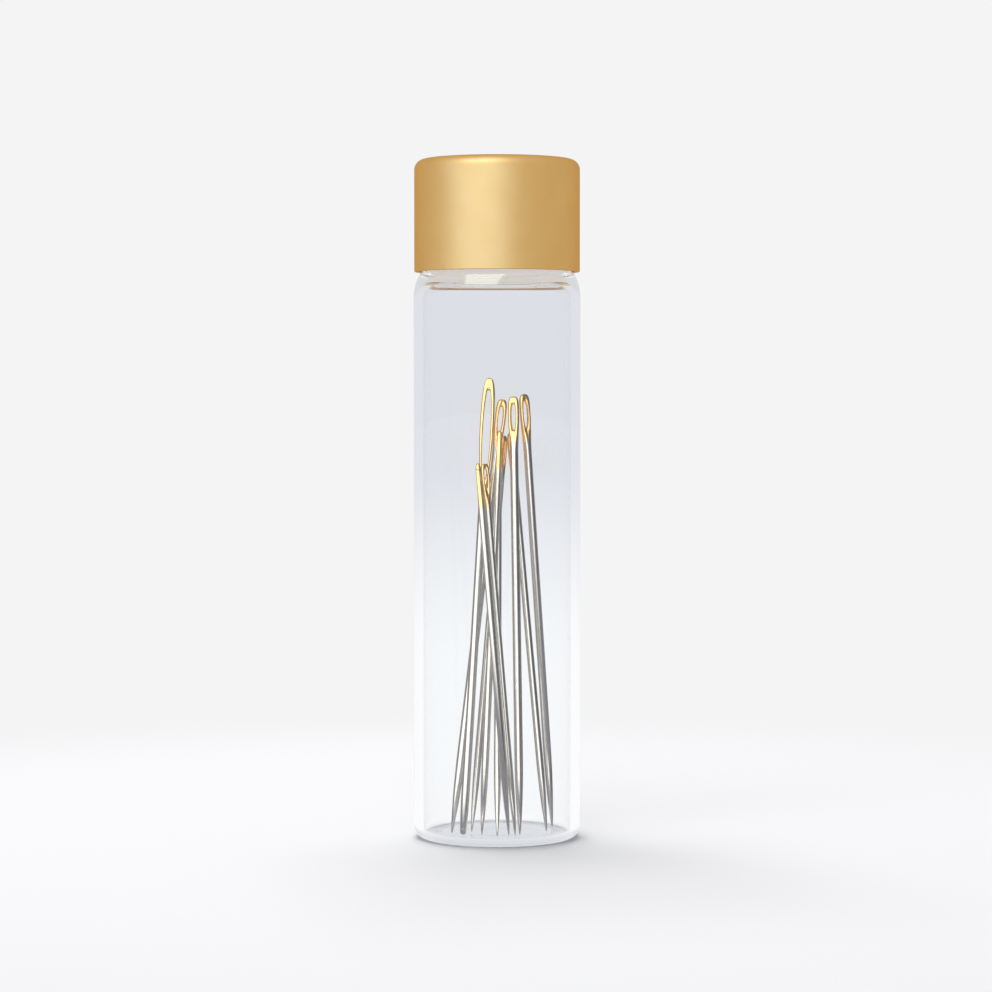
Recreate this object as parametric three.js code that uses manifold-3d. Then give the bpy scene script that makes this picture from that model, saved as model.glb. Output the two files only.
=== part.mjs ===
// A glass vial of hand-sewing needles with a gold screw cap.
//
// Millimetres, +Z up. The origin is the centre of the vial's base, where it stands.
// The cap is closed. The needles stand points down on the vial's floor and lean on its wall
// and on each other.

import * as THREE from "three";
import { mergeVertices } from "three/addons/utils/BufferGeometryUtils.js";
import Module from "manifold-3d";

const wasm = await Module();
wasm.setup();

// Vial: drawn tube glass, 16 mm outside. Its neck, the cap's walls and clearances inside the body's
// outline, comes out at the 11.6 mm root of a 13 mm screw thread.
const BODY_DIAMETER = 16.0;
const GLASS_WALL = 0.9;
const FLOOR_THICKNESS = 0.7;
const BASE_CORNER_RADIUS = 1.1;
const FLOOR_CORNER_RADIUS = 0.4;
const STANDING_RING = 1.5;
const PUNT_DEPTH = 0.15;
const HEADROOM = 7.21;
const SHOULDER_HEIGHT = 3.0;
const NECK_WALL = 1.5;
const NECK_LENGTH = 7.2;
const NECK_FILLET = 0.4;
const NECK_BORE_EDGE = 0.6;
const RIM_ROUNDING = 0.5;

// Cap: a drawn aluminium shell, a threaded inner cap in it and a foam disc that seals on the rim
const CAP_INSET = 0.05;
const CAP_EDGE_RADIUS = 1.0;
const SHELL_WALL = 0.35;
const SHELL_CURL = 0.12;
const SKIRT_CLEARANCE = 0.23;
const SLIP_FIT = 0.1;
const INSERT_WALL = 0.75;
const INSERT_TOP = 1.0;
const INSERT_CLEARANCE = 0.38;
const INSERT_CHAMFER = 0.3;
const THREAD_ROOM = 0.95;
const SEAL_THICKNESS = 1.5;
const SEAL_EDGE = 0.2;
const SEAL_CLEARANCE = 0.15;
const SEAT_GAP = 0.05;

// Needles: a pressed and punched eye, a round shank, and a point or a blunt tip
const TIP_GAP = 0.06;
const GUTTER_DEPTH = 0.1;
const GUTTER_WIDTH_SHARE = 0.55;
const GUTTER_OVERRUN = 0.8;
const POINT_FULLNESS = 0.8;

const TAPESTRY = {
  length: 44.0,
  wire: 0.8,
  eyeWidth: 1.4,
  eyeThickness: 0.5,
  crown: 4.6,
  bridge: 1.25,
  slotWidth: 0.74,
  slotLength: 8.5,
  neckDown: 1.2,
  taper: 4.5,
  tipWidth: 0.54,
};
const SHARP_3 = {
  length: 42.2,
  wire: 0.82,
  eyeWidth: 1.1,
  eyeThickness: 0.6,
  crown: 1.3,
  bridge: 0.8,
  slotWidth: 0.44,
  slotLength: 2.4,
  neckDown: 2.4,
  taper: 7.0,
  tipWidth: 0.12,
};
const SHARP_5 = {
  length: 38.8,
  wire: 0.7,
  eyeWidth: 0.95,
  eyeThickness: 0.52,
  crown: 1.15,
  bridge: 0.7,
  slotWidth: 0.38,
  slotLength: 2.1,
  neckDown: 2.2,
  taper: 6.5,
  tipWidth: 0.11,
};
const SHARP_7 = {
  length: 35.6,
  wire: 0.62,
  eyeWidth: 0.84,
  eyeThickness: 0.46,
  crown: 1.0,
  bridge: 0.55,
  slotWidth: 0.32,
  slotLength: 1.8,
  neckDown: 2.0,
  taper: 6.0,
  tipWidth: 0.1,
};

// Where each needle stands: its tip on the floor, and where its line passes a level above the tips, both
// as shares of the vial's inner radius (x to the right, y to the back), and the turn of its eye about
// its own length in degrees, 0 with the eye facing front to back.
const AIM_RISE = 40.0;
const NEEDLES = [
  { size: TAPESTRY, tip: [-0.447, -0.533], aim: [-0.130, 0.228], turn: 0 },
  { size: SHARP_3, tip: [-0.596, -0.403], aim: [0.051, 0.425], turn: 8 },
  { size: SHARP_3, tip: [0.299, -0.571], aim: [0.228, 0.244], turn: -12 },
  { size: SHARP_3, tip: [0.765, 0.170], aim: [0.396, 0.579], turn: 20 },
  { size: SHARP_5, tip: [-0.199, -0.567], aim: [0.050, 0.139], turn: 85 },
  { size: SHARP_7, tip: [0.156, -0.611], aim: [-0.297, -0.878], turn: 80 },
  { size: SHARP_7, tip: [0.239, -0.617], aim: [-0.223, -0.055], turn: 22 },
  { size: SHARP_5, tip: [-0.339, -0.293], aim: [0.128, 0.827], turn: 60 },
  { size: SHARP_5, tip: [0.660, -0.240], aim: [0.171, 0.602], turn: 35 },
  { size: SHARP_5, tip: [0.003, -0.686], aim: [0.022, 0.691], turn: 50 },
];

// Facets, and the rings of points on a needle as shares of its crown, its narrowing and its point
const ROUND_SIDES = 40;
const CORNER_STEPS = 4;
const SHOULDER_STEPS = 7;
const SMALL_STEPS = 3;
const NEEDLE_SIDES = 12;
const SLOT_STEPS = 12;
const GUTTER_SIDES = 8;
const CROWN_RINGS = [0.02, 0.12, 0.35, 0.7, 1];
const NARROWING_RINGS = [0.25, 0.5, 0.75, 1];
const POINT_RINGS = [0.03, 0.25, 0.55, 1];
const WELD_DISTANCE = 1e-5;

// Radii, from the body's outline inwards
const bodyRadius = BODY_DIAMETER / 2;
const innerRadius = bodyRadius - GLASS_WALL;
const capRadius = bodyRadius - CAP_INSET;
const shellInnerRadius = capRadius - SHELL_WALL;
const insertOuterRadius = shellInnerRadius - SLIP_FIT;
const insertInnerRadius = insertOuterRadius - INSERT_WALL;
const sealRadius = insertInnerRadius - SEAL_CLEARANCE;
const neckRadius = insertInnerRadius - THREAD_ROOM;
const boreRadius = neckRadius - NECK_WALL;
const shoulderRadius = neckRadius + NECK_FILLET;
const shoulderReach = bodyRadius - shoulderRadius;
const shellInnerEdge = CAP_EDGE_RADIUS - SHELL_WALL;

// Levels, from the floor of the vial upwards
const longestNeedle = Math.max(...NEEDLES.map((place) => place.size.length));
const tipLevel = FLOOR_THICKNESS + TIP_GAP;
const shoulderFoot = tipLevel + longestNeedle + HEADROOM;
const shoulderTop = shoulderFoot + SHOULDER_HEIGHT;
const skirtFoot = shoulderLevelAt(shellInnerRadius - SHELL_CURL - SKIRT_CLEARANCE);
const insertFoot = shoulderLevelAt(insertInnerRadius) + INSERT_CLEARANCE;
const rimLevel = shoulderTop + NECK_LENGTH;
const sealFoot = rimLevel + SEAT_GAP;
const sealTop = sealFoot + SEAL_THICKNESS;
const insertCeiling = sealTop + SEAT_GAP;
const insertTop = insertCeiling + INSERT_TOP;
const shellCeiling = insertTop + SEAT_GAP;
const capTop = shellCeiling + SHELL_WALL;

// The level of the shoulder's outer curve at a radius from the vial's axis.
function shoulderLevelAt(radius) {
  const share = THREE.MathUtils.clamp((radius - shoulderRadius) / shoulderReach, 0, 1);
  return shoulderFoot + SHOULDER_HEIGHT * Math.sqrt(1 - share ** 2);
}

// Materials
const glass = new THREE.MeshStandardMaterial({ color: 0xe6ecee, roughness: 0.03, metalness: 0 });
glass.transparent = true;
glass.opacity = 0.3;
const goldAluminium = new THREE.MeshStandardMaterial({ color: 0xd9ac62, roughness: 0.32, metalness: 1 });
const whitePolypropylene = new THREE.MeshStandardMaterial({ color: 0xeeeeea, roughness: 0.45, metalness: 0 });
const foam = new THREE.MeshStandardMaterial({ color: 0xf4f2ec, roughness: 0.9, metalness: 0 });
const platedSteel = new THREE.MeshStandardMaterial({ color: 0xc4c2be, roughness: 0.16, metalness: 1 });

// A profile is a list of points (radius, height) that runs round the section of a turned piece.
function point(radius, height) {
  return new THREE.Vector2(radius, height);
}

// Points along an arc of an ellipse about a centre, from one angle to another in degrees.
function ellipseArc(centre, halfWidth, halfHeight, [fromDegrees, toDegrees], steps) {
  const points = [];
  for (let i = 0; i <= steps; i += 1) {
    const angle = THREE.MathUtils.degToRad(THREE.MathUtils.lerp(fromDegrees, toDegrees, i / steps));
    points.push(point(centre.x + halfWidth * Math.cos(angle), centre.y + halfHeight * Math.sin(angle)));
  }
  return points;
}

function arc(centre, radius, angles, steps) {
  return ellipseArc(centre, radius, radius, angles, steps);
}

// A turned piece about +Z. Its profile runs from the axis back to the axis, with the material on the
// left of the way it runs.
function turned(profile) {
  const geometry = new THREE.LatheGeometry(profile, ROUND_SIDES);
  geometry.rotateX(Math.PI / 2);
  return geometry;
}

// The vial: punted base, straight body, shoulder drawn in to the neck, fire-polished rim.
function vialGeometry() {
  const standingRadius = bodyRadius - BASE_CORNER_RADIUS;
  const puntRadius = standingRadius - STANDING_RING;
  const rimRounding = Math.min(RIM_ROUNDING, NECK_WALL / 3);
  const innerShoulderTop = shoulderTop - GLASS_WALL;
  const throatRadius = boreRadius + NECK_BORE_EDGE;
  const floorRadius = innerRadius - FLOOR_CORNER_RADIUS;
  const floorCorner = point(floorRadius, FLOOR_THICKNESS + FLOOR_CORNER_RADIUS);
  const shoulderCentre = point(shoulderRadius, shoulderFoot);
  const profile = [
    ...ellipseArc(point(0, 0), puntRadius, PUNT_DEPTH, [90, 0], SMALL_STEPS),
    ...arc(point(standingRadius, BASE_CORNER_RADIUS), BASE_CORNER_RADIUS, [-90, 0], CORNER_STEPS),
    ...ellipseArc(shoulderCentre, shoulderReach, SHOULDER_HEIGHT, [0, 90], SHOULDER_STEPS),
    ...arc(point(shoulderRadius, shoulderTop + NECK_FILLET), NECK_FILLET, [270, 180], SMALL_STEPS).slice(1),
    ...arc(point(neckRadius - rimRounding, rimLevel - rimRounding), rimRounding, [0, 90], SMALL_STEPS),
    ...arc(point(boreRadius + rimRounding, rimLevel - rimRounding), rimRounding, [90, 180], SMALL_STEPS),
    ...arc(point(throatRadius, innerShoulderTop + NECK_BORE_EDGE), NECK_BORE_EDGE, [180, 270], SMALL_STEPS),
    ...ellipseArc(
      point(throatRadius, shoulderFoot),
      innerRadius - throatRadius,
      SHOULDER_HEIGHT - GLASS_WALL,
      [90, 0],
      SHOULDER_STEPS,
    ).slice(1),
    ...arc(floorCorner, FLOOR_CORNER_RADIUS, [0, -90], CORNER_STEPS),
    point(0, FLOOR_THICKNESS),
  ];
  return turned(profile);
}

// The cap's shell: a drawn cup with a rounded top edge, its lower edge curled a little inwards.
function shellGeometry() {
  const innerCorner = point(shellInnerRadius - shellInnerEdge, shellCeiling - shellInnerEdge);
  const outerCorner = point(capRadius - CAP_EDGE_RADIUS, capTop - CAP_EDGE_RADIUS);
  const profile = [
    point(0, shellCeiling),
    ...arc(innerCorner, shellInnerEdge, [90, 0], CORNER_STEPS),
    point(shellInnerRadius, skirtFoot + 2 * SHELL_CURL),
    point(shellInnerRadius - SHELL_CURL, skirtFoot + SHELL_CURL),
    point(shellInnerRadius, skirtFoot),
    point(capRadius - SHELL_CURL, skirtFoot),
    point(capRadius, skirtFoot + SHELL_CURL),
    ...arc(outerCorner, CAP_EDGE_RADIUS, [0, 90], CORNER_STEPS),
    point(0, capTop),
  ];
  return turned(profile);
}

// The threaded inner cap: a moulded cup that fills the shell, with a lead-in at its mouth.
function insertGeometry() {
  const topEdge = shellInnerEdge + SLIP_FIT;
  const topCorner = point(insertOuterRadius - topEdge, insertTop - topEdge);
  const profile = [
    point(0, insertCeiling),
    point(insertInnerRadius, insertCeiling),
    point(insertInnerRadius, insertFoot + INSERT_CHAMFER),
    point(insertInnerRadius + INSERT_CHAMFER, insertFoot),
    point(insertOuterRadius, insertFoot),
    ...arc(topCorner, topEdge, [0, 90], SMALL_STEPS),
    point(0, insertTop),
  ];
  return turned(profile);
}

// The foam disc that lies under the inner cap's ceiling and closes on the rim.
function sealGeometry() {
  const profile = [
    point(0, sealFoot),
    point(sealRadius - SEAL_EDGE, sealFoot),
    point(sealRadius, sealFoot + SEAL_EDGE),
    point(sealRadius, sealTop - SEAL_EDGE),
    point(sealRadius - SEAL_EDGE, sealTop),
    point(0, sealTop),
  ];
  return turned(profile);
}

// A closed geometry as a solid for cutting.
function toSolid(geometry) {
  const bare = geometry.clone();
  bare.deleteAttribute("normal");
  bare.deleteAttribute("uv");
  const merged = mergeVertices(bare, WELD_DISTANCE);
  const mesh = new wasm.Mesh({
    numProp: 3,
    vertProperties: Float32Array.from(merged.attributes.position.array),
    triVerts: Uint32Array.from(merged.index.array),
  });
  mesh.merge();
  return new wasm.Manifold(mesh);
}

function toGeometry(solid) {
  const mesh = solid.getMesh();
  const geometry = new THREE.BufferGeometry();
  geometry.setAttribute("position", new THREE.BufferAttribute(Float32Array.from(mesh.vertProperties), 3));
  geometry.setIndex(new THREE.BufferAttribute(Uint32Array.from(mesh.triVerts), 1));
  geometry.computeVertexNormals();
  return geometry;
}

// Depths below a needle's top: where its eye end starts to narrow, beside the middle of the eye, and
// where it has become the round shank.
function narrowingStart(size) {
  return Math.max(size.crown, size.bridge + size.slotLength / 2);
}

function headDepth(size) {
  return size.bridge + size.slotLength + size.neckDown;
}

// Half the eye end's width or thickness at a depth below the needle's top. It rounds over at the
// crown, is full size to the middle of the eye, and eases from there into the round shank.
function headHalf(size, fullHalf, depth) {
  if (depth < size.crown) {
    return fullHalf * Math.cbrt(1 - (1 - depth / size.crown) ** 3);
  }
  const ease = THREE.MathUtils.smoothstep(depth, narrowingStart(size), headDepth(size));
  return THREE.MathUtils.lerp(fullHalf, size.wire / 2, ease);
}

// Half the shank's thickness at a height above the tip: a long full taper, then plain wire.
function shankHalf(size, height) {
  const rise = Math.min(height / size.taper, 1);
  const ease = Math.sin((rise * Math.PI) / 2) ** POINT_FULLNESS;
  return THREE.MathUtils.lerp(size.tipWidth / 2, size.wire / 2, ease);
}

// The blank of a needle along +Z with its tip at the origin: wire turned to its tip, with the other
// end pressed flat and wide.
function pressedBlank(size) {
  const narrowing = headDepth(size) - narrowingStart(size);
  const depths = [
    ...CROWN_RINGS.map((share) => share * size.crown),
    ...NARROWING_RINGS.map((share) => narrowingStart(size) + share * narrowing),
  ];
  const heights = [
    ...POINT_RINGS.map((share) => share * size.taper),
    ...depths.reverse().map((depth) => size.length - depth),
  ];
  const profile = [
    point(0, 0),
    ...heights.map((height) => point(shankHalf(size, height), height)),
    point(0, size.length),
  ];
  const blank = new THREE.LatheGeometry(profile, NEEDLE_SIDES);
  blank.rotateX(Math.PI / 2);
  const position = blank.attributes.position;
  for (let i = 0; i < position.count; i += 1) {
    const depth = size.length - position.getZ(i);
    if (depth < headDepth(size)) {
      const turnedHalf = shankHalf(size, position.getZ(i));
      position.setX(i, (position.getX(i) * headHalf(size, size.eyeWidth / 2, depth)) / turnedHalf);
      position.setY(i, (position.getY(i) * headHalf(size, size.eyeThickness / 2, depth)) / turnedHalf);
    }
  }
  return blank;
}

// A needle: its blank with the long eye punched through and a gutter sunk along each face of the eye.
function needleGeometry(size) {
  const eyeMiddle = size.length - size.bridge - size.slotLength / 2;
  const eyeOutline = new THREE.Shape();
  eyeOutline.absellipse(0, 0, size.slotWidth / 2, size.slotLength / 2, 0, 2 * Math.PI);
  const punch = new THREE.ExtrudeGeometry(eyeOutline, {
    depth: 2 * size.wire,
    bevelEnabled: false,
    curveSegments: SLOT_STEPS,
  });
  punch.translate(0, 0, -size.wire);
  punch.rotateX(Math.PI / 2);
  punch.translate(0, 0, eyeMiddle);

  let solid = toSolid(pressedBlank(size)).subtract(toSolid(punch));
  for (const side of [-1, 1]) {
    const gutter = new THREE.SphereGeometry(1, GUTTER_SIDES, GUTTER_SIDES);
    const gutterHalfLength = size.slotLength / 2 + GUTTER_OVERRUN;
    gutter.rotateX(Math.PI / 2);
    gutter.scale(size.slotWidth * GUTTER_WIDTH_SHARE, GUTTER_DEPTH, gutterHalfLength);
    gutter.translate(0, (side * size.eyeThickness) / 2, eyeMiddle);
    solid = solid.subtract(toSolid(gutter));
  }
  return toGeometry(solid);
}

function addPiece(group, name, geometry, material) {
  const mesh = new THREE.Mesh(geometry, material);
  mesh.name = name;
  group.add(mesh);
  return mesh;
}

// Stands a needle on its tip, along its line, and turns its eye.
function standNeedle(mesh, place) {
  const [tipX, tipY] = place.tip.map((share) => share * innerRadius);
  const [aimX, aimY] = place.aim.map((share) => share * innerRadius);
  const lean = new THREE.Vector3(aimX - tipX, aimY - tipY, AIM_RISE).normalize();
  const up = new THREE.Vector3(0, 0, 1);
  const turn = new THREE.Quaternion().setFromAxisAngle(up, THREE.MathUtils.degToRad(place.turn));
  mesh.quaternion.setFromUnitVectors(up, lean).multiply(turn);
  mesh.position.set(tipX, tipY, tipLevel);
}

const vialSet = new THREE.Group();
addPiece(vialSet, "glass_vial", vialGeometry(), glass);
addPiece(vialSet, "cap_shell", shellGeometry(), goldAluminium);
addPiece(vialSet, "cap_insert", insertGeometry(), whitePolypropylene);
addPiece(vialSet, "cap_seal", sealGeometry(), foam);
NEEDLES.forEach((place, i) => {
  const needle = addPiece(vialSet, `needle_${i + 1}`, needleGeometry(place.size), platedSteel);
  standNeedle(needle, place);
});

export default vialSet;
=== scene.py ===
"""A glass vial of hand-sewing needles with a gold screw cap, dressed for its portrait.

Shapes and patterns are written in millimetres, and the stage, the lamps and the camera in metres. +Z is
up, +X is to the right and +Y to the back as the camera sees the vial, and the origin is the centre of the
base that it stands on. Azimuths are in degrees round the vial: 0 is the camera's side, and the right is
positive.
"""
import math

import bmesh
import bpy
from mathutils import Matrix, Vector


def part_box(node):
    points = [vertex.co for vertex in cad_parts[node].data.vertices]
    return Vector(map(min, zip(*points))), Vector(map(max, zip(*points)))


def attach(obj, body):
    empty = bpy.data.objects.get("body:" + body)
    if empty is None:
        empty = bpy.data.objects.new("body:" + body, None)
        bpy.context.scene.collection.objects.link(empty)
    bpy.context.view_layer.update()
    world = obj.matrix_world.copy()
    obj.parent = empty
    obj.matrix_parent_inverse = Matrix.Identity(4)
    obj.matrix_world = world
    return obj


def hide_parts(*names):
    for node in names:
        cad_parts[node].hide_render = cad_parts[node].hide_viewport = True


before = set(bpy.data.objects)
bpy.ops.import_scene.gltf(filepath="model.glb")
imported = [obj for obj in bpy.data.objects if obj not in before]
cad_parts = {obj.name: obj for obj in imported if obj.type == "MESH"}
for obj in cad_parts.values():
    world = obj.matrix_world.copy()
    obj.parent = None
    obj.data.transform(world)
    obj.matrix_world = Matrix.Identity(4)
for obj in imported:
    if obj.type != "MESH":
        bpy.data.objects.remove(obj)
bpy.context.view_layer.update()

MILLIMETRE = 0.001
INCH = 25.4
WELD_DISTANCE = 1e-4
SHARP_EDGE = math.radians(38)

# Vial: drawn tube glass with a flat base, a drawn-in shoulder and a screw neck
GLASS_WALL = 0.9
FLOOR_THICKNESS = 0.7
BASE_CORNER = 1.1
FLOOR_CORNER = 0.4
STANDING_RING = 1.5
PUNT_DEPTH = 0.15
SHOULDER_HEIGHT = 3.0
NECK_RADIUS = 5.8
NECK_WALL = 1.5
NECK_LENGTH = 7.2
NECK_FILLET = 0.4
NECK_BORE_EDGE = 0.6
RIM_ROUNDING = 0.5

# Cap: a drawn shell, a threaded inner cap in it and a foam disc that seals on the rim
CAP_EDGE = 1.0
SHELL_WALL = 0.35
SHELL_CURL = 0.12
SLIP_FIT = 0.1
INSERT_WALL = 0.75
INSERT_ROOF = 1.0
INSERT_CHAMFER = 0.3
SEAL_EDGE = 0.2
RIM_PRINT_DEPTH = 0.06

# Screw thread: right-handed, with the inner cap's ridge half a pitch below the neck's
THREADS_PER_INCH = 12
THREAD_TURNS = 1.9
THREAD_ABOVE_SHOULDER = 1.9
NECK_RIDGE = 0.6
NECK_RIDGE_WIDTH = 1.1
CAP_RIDGE = 0.5
CAP_RIDGE_WIDTH = 0.9
RIDGE_FULL_FROM = 0.8
THREAD_RUN_OUT = 0.15
THREAD_ROW = 0.06

# Needles: sizes of wire with a pressed and punched eye
TAPESTRY = {
    "length": 44.0,
    "wire": 0.8,
    "eye_width": 1.4,
    "eye_thickness": 0.5,
    "crown": 4.6,
    "bridge": 1.25,
    "slot_width": 0.74,
    "slot_length": 8.5,
    "neck_down": 1.2,
    "taper": 4.5,
    "tip_width": 0.54,
    "plating": 11.6,
}
SHARP_3 = {
    "length": 42.2,
    "wire": 0.82,
    "eye_width": 1.1,
    "eye_thickness": 0.6,
    "crown": 1.3,
    "bridge": 0.8,
    "slot_width": 0.44,
    "slot_length": 2.4,
    "neck_down": 2.4,
    "taper": 7.0,
    "tip_width": 0.12,
    "plating": 4.7,
}
SHARP_5 = {
    "length": 38.8,
    "wire": 0.7,
    "eye_width": 0.95,
    "eye_thickness": 0.52,
    "crown": 1.15,
    "bridge": 0.7,
    "slot_width": 0.38,
    "slot_length": 2.1,
    "neck_down": 2.2,
    "taper": 6.5,
    "tip_width": 0.11,
    "plating": 4.0,
}
SHARP_7 = {
    "length": 35.6,
    "wire": 0.62,
    "eye_width": 0.84,
    "eye_thickness": 0.46,
    "crown": 1.0,
    "bridge": 0.55,
    "slot_width": 0.32,
    "slot_length": 1.8,
    "neck_down": 2.0,
    "taper": 6.0,
    "tip_width": 0.1,
    "plating": 4.4,
}
GUTTER_DEPTH = 0.1
GUTTER_WIDTH_SHARE = 0.55
GUTTER_OVERRUN = 0.8
CROWN_FULLNESS = 3
EYE_FLATNESS = 3.5
ROUND_FLATNESS = 2
POINT_FULLNESS = 0.8

# Standing needles: size, tip and aim as shares of the vial's inner radius, turn of the eye in degrees
TIP_GAP = 0.06
AIM_RISE = 40.0
NEEDLES = [
    (TAPESTRY, (-0.447, -0.533), (-0.130, 0.228), 0),
    (SHARP_3, (-0.596, -0.403), (0.051, 0.425), 8),
    (SHARP_3, (0.299, -0.571), (0.228, 0.244), -12),
    (SHARP_3, (0.765, 0.170), (0.396, 0.579), 20),
    (SHARP_5, (-0.199, -0.567), (0.050, 0.139), 85),
    (SHARP_7, (0.156, -0.611), (-0.297, -0.878), 80),
    (SHARP_7, (0.239, -0.617), (-0.223, -0.055), 22),
    (SHARP_5, (-0.339, -0.293), (0.128, 0.827), 60),
    (SHARP_5, (0.660, -0.240), (0.171, 0.602), 35),
    (SHARP_5, (0.003, -0.686), (0.022, 0.691), 50),
]

# Fineness of the meshes
ROUND_STEPS = 128
CORNER_STEPS = 10
SHOULDER_STEPS = 24
NEEDLE_COLUMNS = 24
SLOT_HALF_COLUMNS = 2
SLOT_COLUMN_MARGIN = 0.1
CROWN_RINGS = (0.03, 0.12, 0.3, 0.6)
SLOT_RINGS = (-1, -0.86, -0.6, -0.2, 0.2, 0.6, 0.86, 1)
NECK_RINGS = (0.25, 0.5, 0.75, 1.0, 1.2)
POINT_RINGS = (0.02, 0.1, 0.25, 0.45, 0.7, 1.0, 1.15)
SLOT_END_SHARE = 0.93
SHANK_ROW = 3.0

# Finishes: colours, and the width and depth of each pattern
GLASS_TINT = "#fdfefe"
GLASS_IOR = 1.47
DRAWING_WAVE = 5.0
DRAWING_WAVE_DEPTH = 0.05
DRAWING_WAVE_SLIMNESS = 0.06
GOLD_TONES = ("#e7b96e", "#edc37e")
GOLD_EDGE_TINT = "#eccdac"
GOLD_BLOTCH = 2.5
ETCH_GRAIN = 0.22
ETCH_DEPTH = 0.05
POLYPROPYLENE_TONES = ("#e9e9e4", "#f2f2ee")
MOULD_TEXTURE = 0.4
MOULD_TEXTURE_DEPTH = 0.03
FOAM_TONES = ("#e6e3da", "#f5f3ec")
FOAM_CELL = 0.25
FOAM_CELL_DEPTH = 0.08
NICKEL = "#d6d3cf"
GOLD_PLATE = "#fbd48f"
GOLD_PLATE_FULL = 0.8
GOLD_PLATE_END = 1.08
POLISHING_LINE = 0.06
POLISHING_LINE_DEPTH = 0.01
POLISHING_LINE_SLIMNESS = 0.02
NOISE_LOW = 0.3
NOISE_HIGH = 0.7

# Light in the glass: what each surface lets through into the shadow, and the painted sheen and glows that
# stand in for light
BASE_SHADE = "#6a6b6d"
WALL_SHADE = "#fafbfb"
BASE_SHADE_TOP = 1.5
WALL_SHADE_FOOT = 5.0
BACK_WALL_PAINTED_SHEEN = "#c8c9ce"
PAINTED_EDGE_GLOW = "#d4d7da"
CAP_INSIDE_PAINTED_GLOW = "#d6cec6"

# Counts along a light's path are whole numbers, so half a count tells one from the next
HALF_COUNT = 0.5
FRONT_WALL_SURFACES = 2
EDGE_REFLECTIONS = 5
NEEDLE_SURFACES = 3.5
NEEDLE_SURFACES_SPREAD = 1.0

# Stage and camera
BACKGROUND = "#f4f4f5"
FLOOR_HALF = 20.0
SWEEP_START = 0.05
SWEEP_END = 0.12
CAMERA_PLACE = (0.0, -0.295, 0.0430)
CAMERA_AIM = (-0.0001, 0.0, 0.0329)
CAMERA_LENS = 111.3
CAMERA_SENSOR = 36.0
CAMERA_CLIP = 0.01
LAMP_AIM = (0.0, 0.0, 0.03)

# Floor as the glass shows it: painted shade under the base, near the vial and far from it, by powers of ten
# of a metre
FLOOR_PAINTED_SHADE_UNDER_BASE = "#dfe0e5"
FLOOR_NEAR = "#fdfdff"
FLOOR_FAR = "#e4e5eb"
UNDER_BASE_EDGE = 0.0065
UNDER_BASE_END = 0.0095
FLOOR_FADE_START = -0.8
FLOOR_FADE_END = 0.3

# Studio: even light, and the lobes of light and dark that the cap and the needles reflect
EVEN_LIGHT = "#a0a0a2"
GLASS_BACKDROP = "#e1e2e8"
CAP_GROUND = "#dadada"
CAP_LOBES = (
    (-27, 17, 52, "#bfd4ff", 2.15),
)
NEEDLE_GROUND = "#9a9693"
NEEDLE_FOOT = "#85838a"
NEEDLE_FOOT_RISE = 0.05
NEEDLE_STUDIO_RISE = 0.12
NEEDLE_LOBES = (
    (-22, 32, 50, "#fffdf8", 2.0),
    (95, 44, 56, "#303033", 1.0),
    (180, 15, 30, "#dcdde2", 1.0),
)

# Window that the glass mirrors: azimuth and rise in degrees, half sizes as sines
WINDOW_AZIMUTH = -24
WINDOW_RISE = 40
WINDOW_HALF_WIDTH = 0.36
WINDOW_HALF_HEIGHT = 0.24
WINDOW_COLOUR = "#fffdf6"
WINDOW_STRENGTH = 5.0


def cad_corners(node):
    """The lowest and highest corners of a CAD node in millimetres."""
    return [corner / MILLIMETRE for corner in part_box(node)]


vial_high = cad_corners("glass_vial")[1]
shell_low, shell_high = cad_corners("cap_shell")
insert_low, insert_high = cad_corners("cap_insert")
seal_low, seal_high = cad_corners("cap_seal")

# Sizes that follow from the CAD corners and the values above
body_radius = vial_high.x
rim_level = vial_high.z
inner_radius = body_radius - GLASS_WALL
bore_radius = NECK_RADIUS - NECK_WALL
shoulder_radius = NECK_RADIUS + NECK_FILLET
shoulder_top = rim_level - NECK_LENGTH
shoulder_foot = shoulder_top - SHOULDER_HEIGHT
cap_radius = shell_high.x
shell_inner = cap_radius - SHELL_WALL
insert_outer = shell_inner - SLIP_FIT
insert_inner = insert_outer - INSERT_WALL
tip_level = FLOOR_THICKNESS + TIP_GAP
thread_pitch = INCH / THREADS_PER_INCH
neck_thread_foot = shoulder_top + THREAD_ABOVE_SHOULDER


def linear(hex_colour):
    """An sRGB colour such as "#d9ac62" as linear red, green, blue and a full alpha."""
    channels = [int(hex_colour[i:i + 2], 16) / 255 for i in (1, 3, 5)]
    return [c / 12.92 if c <= 0.04045 else ((c + 0.055) / 1.055) ** 2.4 for c in channels] + [1.0]


def add_node(tree, kind, inputs=None, **settings):
    """Add a node; an input is a value, or an output socket of another node to link."""
    made = tree.nodes.new(kind)
    for name, value in settings.items():
        setattr(made, name, value)
    for name, value in (inputs or {}).items():
        if isinstance(value, bpy.types.NodeSocket):
            tree.links.new(value, made.inputs[name])
        else:
            made.inputs[name].default_value = value
    return made


def smooth(value, low, high):
    """0 below low, 1 above high, and an even S-curve between them."""
    share = min(max((value - low) / (high - low), 0.0), 1.0)
    return share * share * (3 - 2 * share)


def mix(start, end, share):
    return start + (end - start) * share


def towards(azimuth, elevation=0.0):
    """The direction from the vial to an azimuth and elevation in degrees."""
    turn = math.radians(azimuth)
    rise = math.radians(elevation)
    return Vector((math.sin(turn) * math.cos(rise), -math.cos(turn) * math.cos(rise), math.sin(rise)))


# Turned pieces

def arc(centre, half_width, half_height, from_degrees, to_degrees, steps=CORNER_STEPS):
    """Points (radius, height) along part of an ellipse."""
    points = []
    for i in range(steps + 1):
        angle = math.radians(mix(from_degrees, to_degrees, i / steps))
        points.append((centre[0] + half_width * math.cos(angle), centre[1] + half_height * math.sin(angle)))
    return points


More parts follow.
